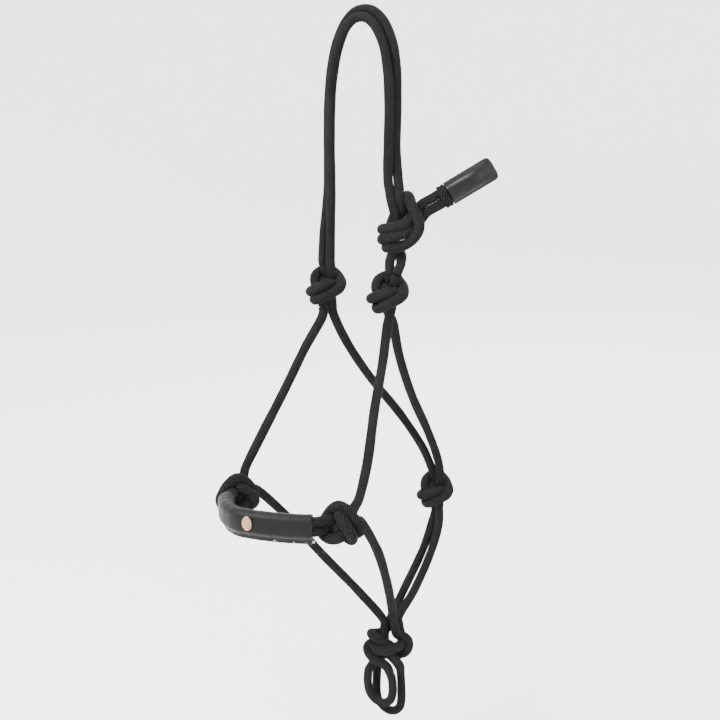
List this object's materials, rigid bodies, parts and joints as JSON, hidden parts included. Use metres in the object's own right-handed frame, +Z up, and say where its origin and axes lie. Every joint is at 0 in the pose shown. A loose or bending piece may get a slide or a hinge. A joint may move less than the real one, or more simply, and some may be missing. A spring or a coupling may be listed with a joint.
{
  "type": "rope halter",
  "caption": "Knotted rope halter for a horse, with a tie knot and sleeved tail, a leather nose sleeve and lead loops under the chin.",
  "frame": {"origin": "underside of the crown rope at its top, where the halter rests on the horse's poll", "axes": "+Z up; the horse faces -Y and its left side, where the halter is tied, is +X"},
  "size_m": [0.1781, 0.2929, 0.6702],
  "materials": {
    "rope": "matte braided polyester, charcoal",
    "nose_leather": "satin black leather",
    "tail_leather": "polished black leather",
    "badge_metal": "brushed rose tone"
  },
  "bodies": {
    "crown": {"crown_rope_inner": "rope", "crown_rope_outer": "rope", "tie_knot": "rope", "tie_loop_leg_inner": "rope", "tie_loop_leg_outer": "rope"},
    "face": {"near_cheek_knot": "rope", "far_cheek_knot": "rope", "near_cheek_rope": "rope", "far_cheek_rope": "rope", "near_throat_rope": "rope", "far_throat_rope": "rope", "throat_knot": "rope", "near_drop_rope": "rope", "far_drop_rope": "rope", "near_nose_knot": "rope", "far_nose_knot": "rope", "near_chin_rope": "rope", "far_chin_rope": "rope", "fiador_knot": "rope"},
    "noseband": {"nose_rope_upper": "rope", "nose_rope_lower": "rope", "nose_sleeve": "nose_leather", "badge": "badge_metal"},
    "front_loop": {"front_lead_loop": "rope"},
    "rear_loop": {"rear_lead_loop": "rope"},
    "tail": {"tail_rope_upper": "rope", "tail_rope_lower": "rope", "tail_collar": "rope", "tail_sleeve": "tail_leather"}
  },
  "joints": [
    {"name": "crown_fold", "type": "hinge", "parent": "crown", "child": "face", "pos_m": [0, -0.001, -0.205], "axis": [1, 0, 0], "range_deg": [-60, 40]},
    {"name": "noseband_swing", "type": "hinge", "parent": "face", "child": "noseband", "pos_m": [0, -0.1, -0.399], "axis": [1, 0, 0], "range_deg": [-40, 40]},
    {"name": "front_loop_swing", "type": "hinge", "parent": "face", "child": "front_loop", "pos_m": [0, 0.0317, -0.607], "axis": [1, 0, 0], "range_deg": [-75, 2]},
    {"name": "rear_loop_swing", "type": "hinge", "parent": "face", "child": "rear_loop", "pos_m": [0, 0.0463, -0.607], "axis": [1, 0, 0], "range_deg": [-2, 75]},
    {"name": "tail_bend", "type": "hinge", "parent": "crown", "child": "tail", "pos_m": [0.05376, 0.01931, -0.1536], "axis": [-0.4059, -0.3171, 0.8572], "range_deg": [-45, 45]}
  ]
}
